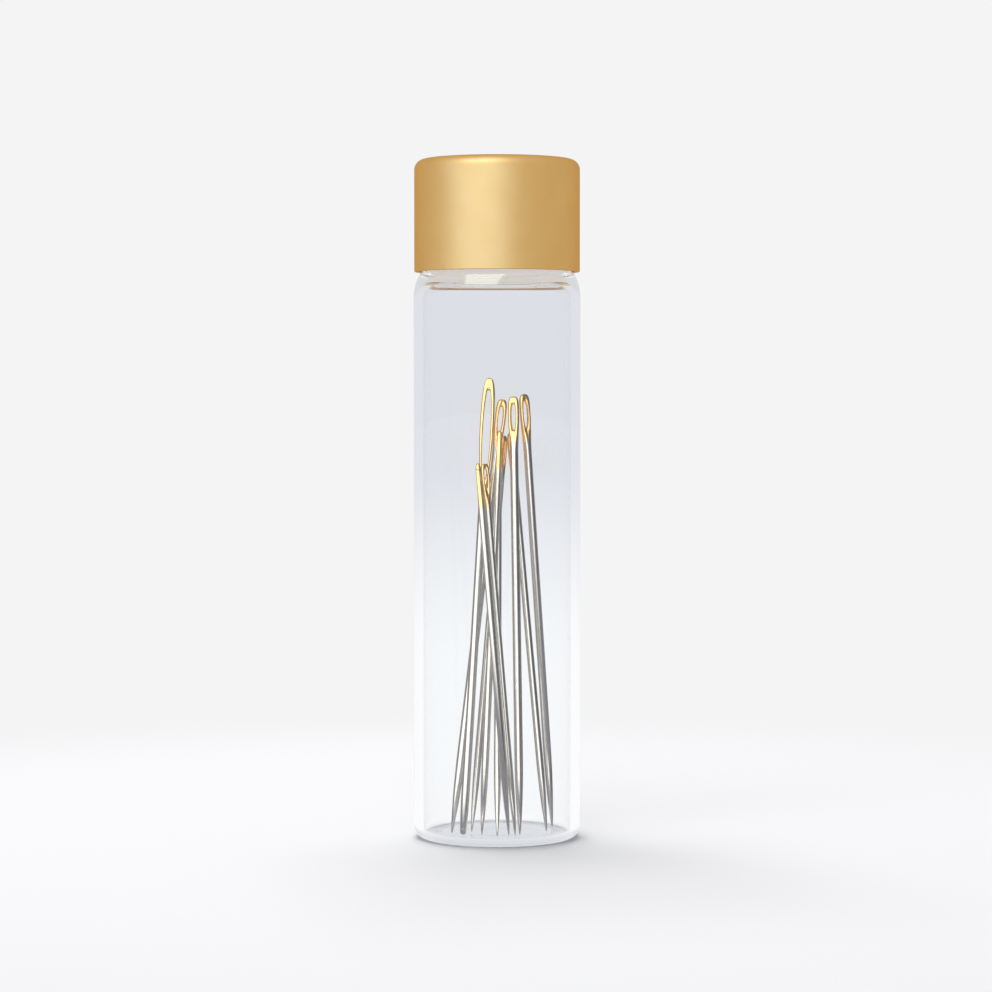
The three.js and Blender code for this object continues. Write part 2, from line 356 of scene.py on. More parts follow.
def rows(radius, start, end, spacing):
    """Points up or down a straight wall, about a spacing apart, without its two ends."""
    count = math.ceil(abs(end - start) / spacing)
    return [(radius, mix(start, end, i / count)) for i in range(1, count)]


def turned(profile):
    """Spin a profile that starts and ends on the axis into a closed turned piece."""
    bm = bmesh.new()
    points = [bm.verts.new((radius, 0, height)) for radius, height in profile]
    lines = [bm.edges.new(pair) for pair in zip(points, points[1:])]
    bmesh.ops.spin(
        bm,
        geom=points + lines,
        cent=(0, 0, 0),
        axis=(0, 0, 1),
        angle=2 * math.pi,
        steps=ROUND_STEPS,
        use_merge=True,
    )
    bmesh.ops.remove_doubles(bm, verts=bm.verts, dist=WELD_DISTANCE)
    bmesh.ops.recalc_face_normals(bm, faces=bm.faces)
    return bm


def raise_thread(bm, wall_radius, foot, ridge, width):
    """Raise a helical ridge on a straight wall: outwards if ridge is positive, inwards if negative."""
    for vert in bm.verts:
        radius = math.hypot(vert.co.x, vert.co.y)
        if abs(radius - wall_radius) > WELD_DISTANCE:
            continue
        turn = math.atan2(vert.co.y, vert.co.x) / (2 * math.pi) % 1.0
        lead = (vert.co.z - foot) / thread_pitch - turn
        along = round(lead) + turn
        off_crest = abs(lead - round(lead)) * thread_pitch
        if off_crest > width / 2 or not 0 < along < THREAD_TURNS:
            continue
        run_out = smooth(along, 0, THREAD_RUN_OUT) * smooth(THREAD_TURNS - along, 0, THREAD_RUN_OUT)
        crest = 0.5 + 0.5 * math.cos(2 * math.pi * off_crest / width)
        grown = (radius + ridge * run_out * smooth(crest, 0, RIDGE_FULL_FROM)) / radius
        vert.co.x *= grown
        vert.co.y *= grown


def vial_mesh():
    """Punted base, straight body, shoulder drawn in to a threaded neck, fire-polished rim."""
    standing_radius = body_radius - BASE_CORNER
    punt_radius = standing_radius - STANDING_RING
    throat_radius = bore_radius + NECK_BORE_EDGE
    throat_top = shoulder_top - GLASS_WALL
    neck_foot = shoulder_top + NECK_FILLET
    rim_foot = rim_level - RIM_ROUNDING
    outside = (
        arc((0, 0), punt_radius, PUNT_DEPTH, 90, 0)
        + arc((standing_radius, BASE_CORNER), BASE_CORNER, BASE_CORNER, -90, 0)
        + arc((shoulder_radius, shoulder_foot), body_radius - shoulder_radius, SHOULDER_HEIGHT, 0, 90,
              SHOULDER_STEPS)
        + arc((shoulder_radius, neck_foot), NECK_FILLET, NECK_FILLET, 270, 180)[1:]
        + rows(NECK_RADIUS, neck_foot, rim_foot, THREAD_ROW)
        + arc((NECK_RADIUS - RIM_ROUNDING, rim_foot), RIM_ROUNDING, RIM_ROUNDING, 0, 90)
    )
    inside = (
        arc((bore_radius + RIM_ROUNDING, rim_foot), RIM_ROUNDING, RIM_ROUNDING, 90, 180)
        + arc((throat_radius, throat_top + NECK_BORE_EDGE), NECK_BORE_EDGE, NECK_BORE_EDGE, 180, 270)
        + arc((throat_radius, shoulder_foot), inner_radius - throat_radius, SHOULDER_HEIGHT - GLASS_WALL,
              90, 0, SHOULDER_STEPS)[1:]
        + arc((inner_radius - FLOOR_CORNER, FLOOR_THICKNESS + FLOOR_CORNER), FLOOR_CORNER, FLOOR_CORNER,
              0, -90)
        + [(0, FLOOR_THICKNESS)]
    )
    bm = turned(outside + inside)
    raise_thread(bm, NECK_RADIUS, neck_thread_foot, NECK_RIDGE, NECK_RIDGE_WIDTH)
    return bm


def shell_mesh():
    """A drawn cup with a rounded top edge, its lower edge curled a little inwards."""
    top = shell_high.z
    ceiling = top - SHELL_WALL
    inner_edge = CAP_EDGE - SHELL_WALL
    curl_level = shell_low.z + SHELL_CURL
    profile = (
        [(0, ceiling)]
        + arc((shell_inner - inner_edge, ceiling - inner_edge), inner_edge, inner_edge, 90, 0)
        + arc((shell_inner, curl_level), SHELL_CURL, SHELL_CURL, 90, 270)
        + arc((cap_radius - SHELL_CURL, curl_level), SHELL_CURL, SHELL_CURL, -90, 0)
        + arc((cap_radius - CAP_EDGE, top - CAP_EDGE), CAP_EDGE, CAP_EDGE, 0, 90)
        + [(0, top)]
    )
    return turned(profile)


def insert_mesh():
    """A moulded cup that fills the shell, with a lead-in at its mouth and the cap's thread inside."""
    top = insert_high.z
    ceiling = top - INSERT_ROOF
    foot = insert_low.z
    wall_foot = foot + INSERT_CHAMFER
    top_edge = CAP_EDGE - SHELL_WALL + SLIP_FIT
    profile = (
        [(0, ceiling), (insert_inner, ceiling)]
        + rows(insert_inner, ceiling, wall_foot, THREAD_ROW)
        + [(insert_inner, wall_foot), (insert_inner + INSERT_CHAMFER, foot), (insert_outer, foot)]
        + arc((insert_outer - top_edge, top - top_edge), top_edge, top_edge, 0, 90)
        + [(0, top)]
    )
    bm = turned(profile)
    raise_thread(bm, insert_inner, neck_thread_foot - thread_pitch / 2, -CAP_RIDGE, CAP_RIDGE_WIDTH)
    return bm


def seal_mesh():
    """A punched foam disc with soft edges and the shallow print of the rim that it closes on."""
    foot = seal_low.z
    top = seal_high.z
    rim_middle = (NECK_RADIUS + bore_radius) / 2
    print_half = (NECK_RADIUS - bore_radius) / 2
    corner = seal_high.x - SEAL_EDGE
    profile = (
        [(0, foot)]
        + arc((rim_middle, foot), print_half, RIM_PRINT_DEPTH, 180, 0)
        + arc((corner, foot + SEAL_EDGE), SEAL_EDGE, SEAL_EDGE, -90, 0)
        + arc((corner, top - SEAL_EDGE), SEAL_EDGE, SEAL_EDGE, 0, 90)
        + [(0, top)]
    )
    return turned(profile)


# Needles

def narrowing_start(size):
    return max(size["crown"], size["bridge"] + size["slot_length"] / 2)


def head_depth(size):
    return size["bridge"] + size["slot_length"] + size["neck_down"]


def head_half(size, full_half, depth):
    """Half the eye end's width or thickness at a depth below the needle's top."""
    if depth < size["crown"]:
        drop = 1 - depth / size["crown"]
        return full_half * (1 - drop ** CROWN_FULLNESS) ** (1 / CROWN_FULLNESS)
    return mix(full_half, size["wire"] / 2, smooth(depth, narrowing_start(size), head_depth(size)))


def shank_half(size, height):
    """Half the shank's thickness at a height above the tip: a long full taper, then plain wire."""
    rise = min(height / size["taper"], 1)
    return mix(size["tip_width"] / 2, size["wire"] / 2, math.sin(rise * math.pi / 2) ** POINT_FULLNESS)


def slot_reach(size, depth):
    """Half the slot's width at a depth, and how far the depth lies past the slot's end."""
    half_length = size["slot_length"] / 2
    off_middle = abs(depth - size["bridge"] - half_length)
    along = min(off_middle / half_length, 1) * SLOT_END_SHARE
    return size["slot_width"] / 2 * math.sqrt(1 - along ** 2), max(off_middle - half_length, 0)


def pressed(size, angle, height):
    """Where a point of the round blank lands once its end is pressed flat, grooved and punched."""
    depth = size["length"] - height
    if depth >= head_depth(size):
        half = shank_half(size, height)
        return Vector((half * math.cos(angle), half * math.sin(angle), height))
    half_width = head_half(size, size["eye_width"] / 2, depth)
    half_thickness = head_half(size, size["eye_thickness"] / 2, depth)
    plain_edge = math.sin(2 * math.pi * SLOT_HALF_COLUMNS / NEEDLE_COLUMNS)
    slot_half, past_slot = slot_reach(size, depth)
    slot_edge = mix(slot_half / half_width, plain_edge, smooth(past_slot, 0, size["bridge"]))
    across = abs(math.cos(angle))
    if across < plain_edge:
        across *= slot_edge / plain_edge
    else:
        across = mix(slot_edge, 1, (across - plain_edge) / (1 - plain_edge))
    narrowed = smooth(depth, narrowing_start(size), head_depth(size))
    flatness = mix(EYE_FLATNESS, ROUND_FLATNESS, narrowed)
    face = half_thickness * max(1 - across ** flatness, 0) ** (1 / flatness)
    gutter_length = size["slot_length"] / 2 + GUTTER_OVERRUN
    gutter_along = (depth - size["bridge"] - size["slot_length"] / 2) / gutter_length
    gutter_across = across * half_width / (size["slot_width"] * GUTTER_WIDTH_SHARE)
    sunk = 1 - gutter_along ** 2 - gutter_across ** 2
    if sunk > 0:
        face = min(face, size["eye_thickness"] / 2 - GUTTER_DEPTH * math.sqrt(sunk))
    return Vector((
        math.copysign(across * half_width, math.cos(angle)),
        math.copysign(face, math.sin(angle)),
        height,
    ))


def needle_levels(size):
    """Heights of the rings of points along a needle, from its tip to its top."""
    slot_middle = size["bridge"] + size["slot_length"] / 2
    slot_end = size["bridge"] + size["slot_length"]
    depths = (
        [share * size["bridge"] for share in CROWN_RINGS]
        + [slot_middle + share * size["slot_length"] / 2 for share in SLOT_RINGS]
        + [slot_end + share * size["neck_down"] for share in NECK_RINGS]
    )
    point = [share * size["taper"] for share in POINT_RINGS]
    head = [size["length"] - depth for depth in reversed(depths)]
    shank = [height for _, height in rows(0, point[-1], head[0], SHANK_ROW)]
    return [0.0] + point + shank + head + [size["length"]]


def needle_mesh(size):
    """Wire drawn to its tip, its other end pressed flat, punched and grooved, along +Z from the tip."""
    bm = bmesh.new()
    bmesh.ops.create_circle(bm, cap_ends=False, segments=NEEDLE_COLUMNS, radius=1)
    levels = needle_levels(size)
    ring = list(bm.edges)
    tip = list(bm.verts)
    for low, high in zip(levels, levels[1:]):
        grown = bmesh.ops.extrude_edge_only(bm, edges=ring)["geom"]
        ring = [item for item in grown if isinstance(item, bmesh.types.BMEdge) and item.is_boundary]
        top = [item for item in grown if isinstance(item, bmesh.types.BMVert)]
        bmesh.ops.translate(bm, verts=top, vec=(0, 0, high - low))

    slot_edge = math.sin(2 * math.pi * (SLOT_HALF_COLUMNS + SLOT_COLUMN_MARGIN) / NEEDLE_COLUMNS)
    slot_top = size["length"] - size["bridge"]
    punched = []
    for face in bm.faces:
        centre = face.calc_center_median()
        if abs(centre.x) < slot_edge and slot_top - size["slot_length"] < centre.z < slot_top:
            punched.append(face)
    bmesh.ops.delete(bm, geom=punched, context="FACES")

    for vert in set(bm.verts) - set(tip) - set(top):
        vert.co = pressed(size, math.atan2(vert.co.y, vert.co.x), vert.co.z)
    bmesh.ops.pointmerge(bm, verts=tip, merge_co=(0, 0, 0))
    bmesh.ops.pointmerge(bm, verts=top, merge_co=(0, 0, size["length"]))
    slot_rims = [edge for edge in bm.edges if edge.is_boundary]
    bmesh.ops.bridge_loops(bm, edges=slot_rims)
    bmesh.ops.recalc_face_normals(bm, faces=bm.faces)

    place = bm.verts.layers.float_vector.new("needle_place")
    plating = bm.verts.layers.float.new("plating")
    for vert in bm.verts:
        depth = size["length"] - vert.co.z
        vert[place] = vert.co
        vert[plating] = depth / size["plating"]
    return bm


def stand_needle(bm, tip, aim, turn):
    """Stand a needle on its tip, lean it along its line and turn its eye."""
    tip_x, tip_y = (share * inner_radius for share in tip)
    aim_x, aim_y = (share * inner_radius for share in aim)
    lean = Vector((0, 0, 1)).rotation_difference(Vector((aim_x - tip_x, aim_y - tip_y, AIM_RISE)))
    place = Matrix.Translation((tip_x, tip_y, tip_level)) @ lean.to_matrix().to_4x4()
    bm.transform(place @ Matrix.Rotation(math.radians(turn), 4, "Z"))


# Materials

def new_material(name):
    """A material of that name with an empty tree, and its output node."""
    material = bpy.data.materials.new(name)
    material.use_nodes = True
    tree = material.node_tree
    tree.nodes.clear()
    return material, tree, add_node(tree, "ShaderNodeOutputMaterial")


def drawing_waves(tree, place):
    """Faint waves along the tube, left by drawing it, as a normal."""
    stretched = add_node(
        tree, "ShaderNodeMapping", {"Vector": place, "Scale": (1, 1, DRAWING_WAVE_SLIMNESS)},
    )
    waves = add_node(
        tree, "ShaderNodeTexNoise",
        {"Vector": stretched.outputs["Vector"], "Scale": 1 / (DRAWING_WAVE * MILLIMETRE), "Detail": 1.0},
    )
    return add_node(
        tree, "ShaderNodeBump",
        {"Height": waves.outputs["Fac"], "Strength": 0.03, "Distance": DRAWING_WAVE_DEPTH * MILLIMETRE},
    ).outputs["Normal"]


def back_wall_share(tree, path, above_base):
    """1 where the back wall's inner face is seen straight through the front wall, above the base."""
    from_inside = add_node(
        tree, "ShaderNodeMath",
        {0: path.outputs["Transmission Depth"], 1: FRONT_WALL_SURFACES, 2: HALF_COUNT},
        operation="COMPARE",
    )
    straight = add_node(
        tree, "ShaderNodeMath", {0: path.outputs["Glossy Depth"], 1: HALF_COUNT}, operation="LESS_THAN",
    )
    inner_face = add_node(
        tree, "ShaderNodeMath", {0: from_inside.outputs["Value"], 1: straight.outputs["Value"]},
        operation="MULTIPLY",
    )
    return add_node(
        tree, "ShaderNodeMath", {0: inner_face.outputs["Value"], 1: above_base}, operation="MULTIPLY",
    ).outputs["Value"]


def back_wall_painted_sheen(tree, normal):
    """Clear glass with a painted even sheen that glows where it would mirror the needles a second time."""
    clear = add_node(
        tree, "ShaderNodeBsdfRefraction",
        {"Color": linear(GLASS_TINT), "Roughness": 0.0, "IOR": GLASS_IOR, "Normal": normal},
    )
    fresnel = add_node(tree, "ShaderNodeFresnel", {"IOR": GLASS_IOR, "Normal": normal})
    # Painted sheen: an emission that stands in for the back wall's reflection
    sheen = add_node(tree, "ShaderNodeEmission", {"Color": linear(BACK_WALL_PAINTED_SHEEN)})
    return add_node(
        tree, "ShaderNodeMixShader",
        {0: fresnel.outputs["Fac"], 1: clear.outputs["BSDF"], 2: sheen.outputs["Emission"]},
    ).outputs["Shader"]


def drawn_glass():
    """Drawn tube glass: clear and smooth, with faint waves and a painted pale glow for the light caught in
    it.

    Its back wall has a painted even sheen. The shadow of its wall is faint, and that of its thick base is
    darker.
    """
    material, tree, output = new_material("drawn tube glass")
    path = add_node(tree, "ShaderNodeLightPath")
    place = add_node(tree, "ShaderNodeTexCoord").outputs["Object"]
    level = add_node(tree, "ShaderNodeSeparateXYZ", {"Vector": place}).outputs["Z"]
    above_base = add_node(
        tree, "ShaderNodeMapRange",
        {"Value": level, "From Min": BASE_SHADE_TOP * MILLIMETRE, "From Max": WALL_SHADE_FOOT * MILLIMETRE},
    ).outputs["Result"]
    normal = drawing_waves(tree, place)
    glass = add_node(
        tree, "ShaderNodeBsdfPrincipled",
        {
            "Base Color": linear(GLASS_TINT),
            "Roughness": 0.0,
            "IOR": GLASS_IOR,
            "Transmission Weight": 1.0,
            "Normal": normal,
        },
    )
    wall = add_node(
        tree, "ShaderNodeMixShader",
        {
            0: back_wall_share(tree, path, above_base),
            1: glass.outputs["BSDF"],
            2: back_wall_painted_sheen(tree, normal),
        },
    )
    # Painted pale glow where a ray has bounced many times inside the glass, in place of the light caught
    # there
    caught = add_node(
        tree, "ShaderNodeMath",
        {0: path.outputs["Glossy Depth"], 1: EDGE_REFLECTIONS + HALF_COUNT},
        operation="GREATER_THAN",
    )
    edge = add_node(tree, "ShaderNodeEmission", {"Color": linear(PAINTED_EDGE_GLOW)})
    body = add_node(
        tree, "ShaderNodeMixShader",
        {0: caught.outputs["Value"], 1: wall.outputs["Shader"], 2: edge.outputs["Emission"]},
    )
    shade = add_node(
        tree, "ShaderNodeMix",
        {"Factor": above_base, "A": linear(BASE_SHADE), "B": linear(WALL_SHADE)},
        data_type="RGBA",
    )
    shaded = add_node(tree, "ShaderNodeBsdfTransparent", {"Color": shade.outputs["Result"]})
    seen = add_node(
        tree, "ShaderNodeMixShader",
        {0: path.outputs["Is Shadow Ray"], 1: body.outputs["Shader"], 2: shaded.outputs["BSDF"]},
    )
    tree.links.new(seen.outputs["Shader"], output.inputs["Surface"])
    return material


def anodised_gold():
    """Aluminium, etched satin and anodised gold: a broad soft sheen with a fine grain in it.

    The grain is drawn coarser than a real etch, so that it shows.
    """
    material, tree, output = new_material("satin gold anodised aluminium")
    place = add_node(tree, "ShaderNodeTexCoord").outputs["Object"]
    grain = add_node(
        tree, "ShaderNodeTexNoise",
        {"Vector": place, "Scale": 1 / (ETCH_GRAIN * MILLIMETRE), "Detail": 3.0, "Roughness": 0.6},
    )
    blotches = add_node(
        tree, "ShaderNodeTexNoise", {"Vector": place, "Scale": 1 / (GOLD_BLOTCH * MILLIMETRE), "Detail": 2.0},
    )
    roughness = add_node(
        tree, "ShaderNodeMapRange",
        {
            "Value": grain.outputs["Fac"],
            "From Min": NOISE_LOW,
            "From Max": NOISE_HIGH,
            "To Min": 0.42,
            "To Max": 0.5,
        },
    )
    colour = add_node(
        tree, "ShaderNodeMix",
        {"Factor": blotches.outputs["Fac"], "A": linear(GOLD_TONES[0]), "B": linear(GOLD_TONES[1])},
        data_type="RGBA",
    )
    bump = add_node(
        tree, "ShaderNodeBump",
        {"Height": grain.outputs["Fac"], "Strength": 0.12, "Distance": ETCH_DEPTH * MILLIMETRE},
    )
    metal = add_node(
        tree, "ShaderNodeBsdfPrincipled",
        {
            "Base Color": colour.outputs["Result"],
            "Metallic": 1.0,
            "Roughness": roughness.outputs["Result"],
            "Specular Tint": linear(GOLD_EDGE_TINT),
            "Normal": bump.outputs["Normal"],
        },
    )
    tree.links.new(metal.outputs["BSDF"], output.inputs["Surface"])
    return material


def painted_glow_through_glass(tree, surface):
    """A white surface inside the cap, with a painted glow where it is seen through the glass, in place of the
    light the glass lets in.
    """
    path = add_node(tree, "ShaderNodeLightPath")
    glow = add_node(tree, "ShaderNodeEmission", {"Color": linear(CAP_INSIDE_PAINTED_GLOW)})
    return add_node(
        tree, "ShaderNodeMixShader",
        {0: path.outputs["Is Transmission Ray"], 1: surface.outputs["BSDF"], 2: glow.outputs["Emission"]},
    ).outputs["Shader"]


def moulded_polypropylene():
    """White polypropylene, injection moulded: a waxy half-gloss with a slight mould texture."""
    material, tree, output = new_material("moulded white polypropylene")
    place = add_node(tree, "ShaderNodeTexCoord").outputs["Object"]
    texture = add_node(
        tree, "ShaderNodeTexNoise",
        {"Vector": place, "Scale": 1 / (MOULD_TEXTURE * MILLIMETRE), "Detail": 3.0},
    )
    shade = add_node(
        tree, "ShaderNodeMix",
        {
            "Factor": texture.outputs["Fac"],
            "A": linear(POLYPROPYLENE_TONES[0]),
            "B": linear(POLYPROPYLENE_TONES[1]),
        },
        data_type="RGBA",
    )
    bump = add_node(
        tree, "ShaderNodeBump",
        {"Height": texture.outputs["Fac"], "Strength": 0.15, "Distance": MOULD_TEXTURE_DEPTH * MILLIMETRE},
    )
    plastic = add_node(
        tree, "ShaderNodeBsdfPrincipled",
        {
            "Base Color": shade.outputs["Result"],
            "Roughness": 0.42,
            "IOR": 1.49,
            "Normal": bump.outputs["Normal"],
        },
    )
    # Painted glow where the inner cap is seen through the glass
    tree.links.new(painted_glow_through_glass(tree, plastic), output.inputs["Surface"])
    return material


def polyethylene_foam():
    """Closed-cell polyethylene foam: matt, off-white, with cells that just show."""
    material, tree, output = new_material("closed-cell polyethylene foam")
    place = add_node(tree, "ShaderNodeTexCoord").outputs["Object"]
    cells = add_node(
        tree, "ShaderNodeTexVoronoi", {"Vector": place, "Scale": 1 / (FOAM_CELL * MILLIMETRE)},
    )
    shade = add_node(
        tree, "ShaderNodeMix",
        {"Factor": cells.outputs["Distance"], "A": linear(FOAM_TONES[0]), "B": linear(FOAM_TONES[1])},
        data_type="RGBA",
    )
    bump = add_node(
        tree, "ShaderNodeBump",
        {"Height": cells.outputs["Distance"], "Strength": 0.4, "Distance": FOAM_CELL_DEPTH * MILLIMETRE},
    )
    foam = add_node(
        tree, "ShaderNodeBsdfPrincipled",
        {
            "Base Color": shade.outputs["Result"],
            "Roughness": 0.85,
            "IOR": 1.5,
            "Normal": bump.outputs["Normal"],
        },
    )
    # Painted glow where the seal is seen through the glass
    tree.links.new(painted_glow_through_glass(tree, foam), output.inputs["Surface"])
    return material


def plated_steel():
    """Polished nickel-plated steel with lengthwise polishing lines, dipped in gold over the eye.

    The lines are drawn coarser than real polishing lines, so that they show. They follow each needle,
    whose places are kept in millimetres.
    """
    material, tree, output = new_material("nickel-plated steel with a gold-plated eye")
    place = add_node(tree, "ShaderNodeAttribute", attribute_name="needle_place").outputs["Vector"]
    plating = add_node(tree, "ShaderNodeAttribute", attribute_name="plating").outputs["Fac"]
    stretched = add_node(
        tree, "ShaderNodeMapping", {"Vector": place, "Scale": (1, 1, POLISHING_LINE_SLIMNESS)},
    )
    lines = add_node(
        tree, "ShaderNodeTexNoise",
        {"Vector": stretched.outputs["Vector"], "Scale": 1 / POLISHING_LINE, "Detail": 2.0},
    )
    gold_edge = add_node(
        tree, "ShaderNodeMapRange",
        {
            "Value": plating,
            "From Min": GOLD_PLATE_FULL,
            "From Max": GOLD_PLATE_END,
            "To Min": 1.0,
            "To Max": 0.0,
        },
        interpolation_type="SMOOTHSTEP",
    )
    colour = add_node(
        tree, "ShaderNodeMix",
        {"Factor": gold_edge.outputs["Result"], "A": linear(NICKEL), "B": linear(GOLD_PLATE)},
        data_type="RGBA",
    )
    roughness = add_node(
        tree, "ShaderNodeMapRange",
        {
            "Value": lines.outputs["Fac"],
            "From Min": NOISE_LOW,
            "From Max": NOISE_HIGH,
            "To Min": 0.06,
            "To Max": 0.12,
        },
    )
    bump = add_node(
        tree, "ShaderNodeBump",
        {"Height": lines.outputs["Fac"], "Strength": 0.08, "Distance": POLISHING_LINE_DEPTH * MILLIMETRE},
    )
    metal = add_node(
        tree, "ShaderNodeBsdfPrincipled",
        {
            "Base Color": colour.outputs["Result"],
            "Metallic": 1.0,
            "Roughness": roughness.outputs["Result"],
            "Normal": bump.outputs["Normal"],
        },
    )
    tree.links.new(metal.outputs["BSDF"], output.inputs["Surface"])
    return material


# Assembly

def finish_piece(bm, name, node, body, material, subdivisions=0):
    """Bring a mesh to metres, smooth it, paint it and set it on its body in place of its CAD solid."""
    bm.transform(Matrix.Scale(MILLIMETRE, 4))
    mesh = bpy.data.meshes.new(name)
    bm.to_mesh(mesh)
    bm.free()
    mesh.shade_smooth()
    if subdivisions == 0:
        mesh.set_sharp_from_angle(angle=SHARP_EDGE)
    mesh.materials.append(material)
    piece = bpy.data.objects.new(name, mesh)
    bpy.context.scene.collection.objects.link(piece)
    if subdivisions:
        modifier = piece.modifiers.new("rounded", "SUBSURF")
        modifier.levels = subdivisions
        modifier.render_levels = subdivisions
    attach(piece, body)
    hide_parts(node)
    return piece


def build_vial_and_cap():
    finish_piece(vial_mesh(), "drawn_glass_vial", "glass_vial", "vial", drawn_glass())
    finish_piece(shell_mesh(), "anodised_cap_shell", "cap_shell", "cap", anodised_gold())
    finish_piece(insert_mesh(), "threaded_inner_cap", "cap_insert", "cap",
                 moulded_polypropylene())
    seal = finish_piece(seal_mesh(), "foam_seal_disc", "cap_seal", "seal", polyethylene_foam())


def build_needles():
    steel = plated_steel()
    for number, (size, tip, aim, turn) in enumerate(NEEDLES, start=1):
        bm = needle_mesh(size)
        stand_needle(bm, tip, aim, turn)
        kind = "tapestry" if size is TAPESTRY else "sharp"
        node = f"needle_{number}"
        finish_piece(bm, f"{kind}_{node}", node, node, steel, subdivisions=1)


# Stage, light and camera

def studio_ring(tree, direction, ground, lobes):
    """A ring of soft lights and dark fields round the vial, on an even ground, as seen in a direction.

    A lobe is its azimuth, the half-angles in degrees to which it is full and faded, colour and strength.
    """
    flat = add_node(
        tree, "ShaderNodeVectorMath", {0: direction, 1: (1, 1, 0)}, operation="MULTIPLY",
    )
    compass = add_node(
        tree, "ShaderNodeVectorMath", {0: flat.outputs["Vector"]}, operation="NORMALIZE",
    )
    shade = linear(ground)
    for azimuth, full, faded, colour, strength in lobes:
        facing = add_node(
            tree, "ShaderNodeVectorMath",
            {0: compass.outputs["Vector"], 1: towards(azimuth)},
            operation="DOT_PRODUCT",
        )
        share = add_node(
            tree, "ShaderNodeMapRange",
            {
                "Value": facing.outputs["Value"],
                "From Min": math.cos(math.radians(faded)),
                "From Max": math.cos(math.radians(full)),
            },
            interpolation_type="SMOOTHSTEP",
        )
        shade = add_node(
            tree, "ShaderNodeMix",
            {
                "Factor": share.outputs["Result"],
                "A": shade,
                "B": [channel * strength for channel in linear(colour)],
            },
            data_type="RGBA",
        ).outputs["Result"]
    return shade


def studio_light(tree, path, direction, backdrop, away):
    """What is reflected: soft lamps in the cap, the pale backdrop in the glass, more contrast in the needles.

    The needles are seen through the glass. They are grey where away is 0, near the vial's foot and low down.
    """
    inside = add_node(
        tree, "ShaderNodeMath", {0: path.outputs["Transmission Depth"], 1: HALF_COUNT},
        operation="GREATER_THAN",
    )
    in_glass = add_node(
        tree, "ShaderNodeMath", {0: inside.outputs["Value"], 1: path.outputs["Is Singular Ray"]},
        operation="MAXIMUM",
    )
    through_vial = add_node(
        tree, "ShaderNodeMath",
        {0: path.outputs["Transmission Depth"], 1: NEEDLE_SURFACES, 2: NEEDLE_SURFACES_SPREAD},
        operation="COMPARE",
    )
    once = add_node(
        tree, "ShaderNodeMath", {0: path.outputs["Glossy Depth"], 1: 1 + HALF_COUNT}, operation="LESS_THAN",
    )
    in_needles = add_node(
        tree, "ShaderNodeMath", {0: through_vial.outputs["Value"], 1: once.outputs["Value"]},
        operation="MULTIPLY",
    )
    glass_light = add_node(
        tree, "ShaderNodeMix",
        {
            "Factor": in_glass.outputs["Value"],
            "A": studio_ring(tree, direction, CAP_GROUND, CAP_LOBES),
            "B": backdrop,
        },
        data_type="RGBA",
    )
    needle_light = add_node(
        tree, "ShaderNodeMix",
        {
            "Factor": away,
            "A": linear(NEEDLE_FOOT),
            "B": studio_ring(tree, direction, NEEDLE_GROUND, NEEDLE_LOBES),
        },
        data_type="RGBA",
    )
    return add_node(
        tree, "ShaderNodeMix",
        {
            "Factor": in_needles.outputs["Value"],
            "A": glass_light.outputs["Result"],
            "B": needle_light.outputs["Result"],
        },
        data_type="RGBA",
    ).outputs["Result"]


def window_share(tree, path, direction, rise):
    """1 where the glass's outer surface mirrors the window, or the one opposite it, and 0 elsewhere."""
    sideways = add_node(
        tree, "ShaderNodeVectorMath",
        {0: direction, 1: towards(WINDOW_AZIMUTH + 90)},
        operation="DOT_PRODUCT",
    )
    across = add_node(
        tree, "ShaderNodeMath", {0: sideways.outputs["Value"], 1: 0.0, 2: WINDOW_HALF_WIDTH},
        operation="COMPARE",
    )
    upright = add_node(
        tree, "ShaderNodeMath",
        {0: rise, 1: math.sin(math.radians(WINDOW_RISE)), 2: WINDOW_HALF_HEIGHT},
        operation="COMPARE",
    )
    pane = add_node(
        tree, "ShaderNodeMath", {0: across.outputs["Value"], 1: upright.outputs["Value"]},
        operation="MULTIPLY",
    )
    outer = add_node(
        tree, "ShaderNodeMath", {0: path.outputs["Transmission Depth"], 1: HALF_COUNT},
        operation="LESS_THAN",
    )
    sharp = add_node(
        tree, "ShaderNodeMath", {0: outer.outputs["Value"], 1: path.outputs["Is Singular Ray"]},
        operation="MULTIPLY",
    )
    return add_node(
        tree, "ShaderNodeMath", {0: pane.outputs["Value"], 1: sharp.outputs["Value"]},
        operation="MULTIPLY",
    ).outputs["Value"]


